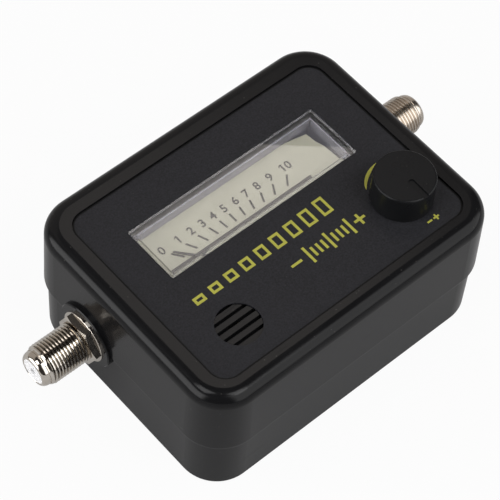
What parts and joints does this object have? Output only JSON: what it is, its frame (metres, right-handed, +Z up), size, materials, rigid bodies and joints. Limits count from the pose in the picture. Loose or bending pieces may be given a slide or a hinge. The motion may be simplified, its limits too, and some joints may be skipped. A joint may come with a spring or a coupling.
{
  "type": "satellite signal meter",
  "caption": "Pocket in-line signal meter: rounded black case with a windowed moving-coil meter, a sensitivity knob, a sounder grille and a threaded coaxial connector at each end.",
  "frame": {"origin": "centre of the case's underside", "axes": "+X along the case's length towards the connector beside the knob, +Y towards the back edge above the meter window, +Z up out of the label"},
  "size_m": [0.1106, 0.0626, 0.0423],
  "materials": {
    "case_plastic": "glossy moulded black",
    "label_film": "matte printed film",
    "screw_steel": "zinc plated",
    "board_laminate": "solder-masked laminate",
    "knob_plastic": "satin black",
    "shaft_steel": "turned",
    "rotor_plastic": "moulded",
    "track_carbon": "carbon film on laminate",
    "pot_plastic": "moulded",
    "diecast": "die cast",
    "tinned": "tinned",
    "sounder_plastic": "moulded",
    "disc_metal": "thin sheet",
    "meter_tray": "moulded",
    "cover_clear": "clear moulding",
    "liner_grey": "grey card strip",
    "dial_paint": "matte beige paint with printed scale",
    "pointer_black": "matte black",
    "weight_metal": "solder",
    "spindle_steel": "polished",
    "former_aluminium": "thin strip",
    "copper_wire": "enamelled copper",
    "magnet": "ground alloy",
    "soft_iron": "plated iron",
    "bridge_brass": "stamped sheet",
    "jewel_brass": "turned",
    "spring_bronze": "thin strip",
    "connector_nickel": "bright nickel plate",
    "insulator_white": "moulded",
    "contact_tin": "plated",
    "chip_resin": "moulded resin",
    "can_sleeve": "shrink sleeve",
    "ceramic": "dipped ceramic",
    "resistor_lacquer": "lacquered",
    "diode_glass": "glass body",
    "ferrite": "sintered"
  },
  "bodies": {
    "case": {"upper_shell": "case_plastic", "lower_shell": "case_plastic", "label_panel": "label_film", "case_screws": "screw_steel", "circuit_board": "board_laminate", "board_screws": "screw_steel", "pot_track": "track_carbon", "pot_housing": "pot_plastic", "pot_bushing": "diecast", "pot_terminals": "tinned", "sounder_case": "sounder_plastic", "sounder_disc": "disc_metal", "sounder_leads": "tinned", "meter_body": "meter_tray", "meter_cover": "cover_clear", "window_liner": "liner_grey", "dial_plate": "dial_paint", "core_magnet": "magnet", "yoke_ring": "soft_iron", "pivot_bridge": "bridge_brass", "bridge_screws": "screw_steel", "upper_jewel_screw": "jewel_brass", "lower_jewel_screw": "jewel_brass", "upper_hairspring": "spring_bronze", "lower_hairspring": "spring_bronze", "meter_pins": "tinned", "amplifier_chip": "chip_resin", "voltage_regulator": "chip_resin", "electrolytic_capacitors": "can_sleeve", "ceramic_capacitors": "ceramic", "resistors": "resistor_lacquer", "detector_diodes": "diode_glass", "choke_core": "ferrite", "choke_winding": "copper_wire", "left_barrel": "connector_nickel", "left_nut": "connector_nickel", "left_washer": "connector_nickel", "left_mouth_insulator": "insulator_white", "left_rear_insulator": "insulator_white", "left_contact": "contact_tin", "right_barrel": "connector_nickel", "right_nut": "connector_nickel", "right_washer": "connector_nickel", "right_mouth_insulator": "insulator_white", "right_rear_insulator": "insulator_white", "right_contact": "contact_tin"},
    "knob": {"knob": "knob_plastic", "pot_shaft": "shaft_steel", "pot_wiper": "rotor_plastic"},
    "needle": {"pointer": "pointer_black", "balance_weight": "weight_metal", "upper_spindle": "spindle_steel", "lower_spindle": "spindle_steel", "coil_former": "former_aluminium", "coil_winding": "copper_wire"}
  },
  "joints": [
    {"name": "knob_turn", "type": "hinge", "parent": "case", "child": "knob", "pos_m": [0.0255, -0.01445, 0.03], "axis": [0, 0, 1], "range_deg": [-300, 0]},
    {"name": "needle_swing", "type": "hinge", "parent": "case", "child": "needle", "pos_m": [-0.0041, -0.01216, 0.03], "axis": [0, 0, -1], "range_deg": [-2, 84], "stiffness_Nm_per_rad": 0.000014}
  ]
}
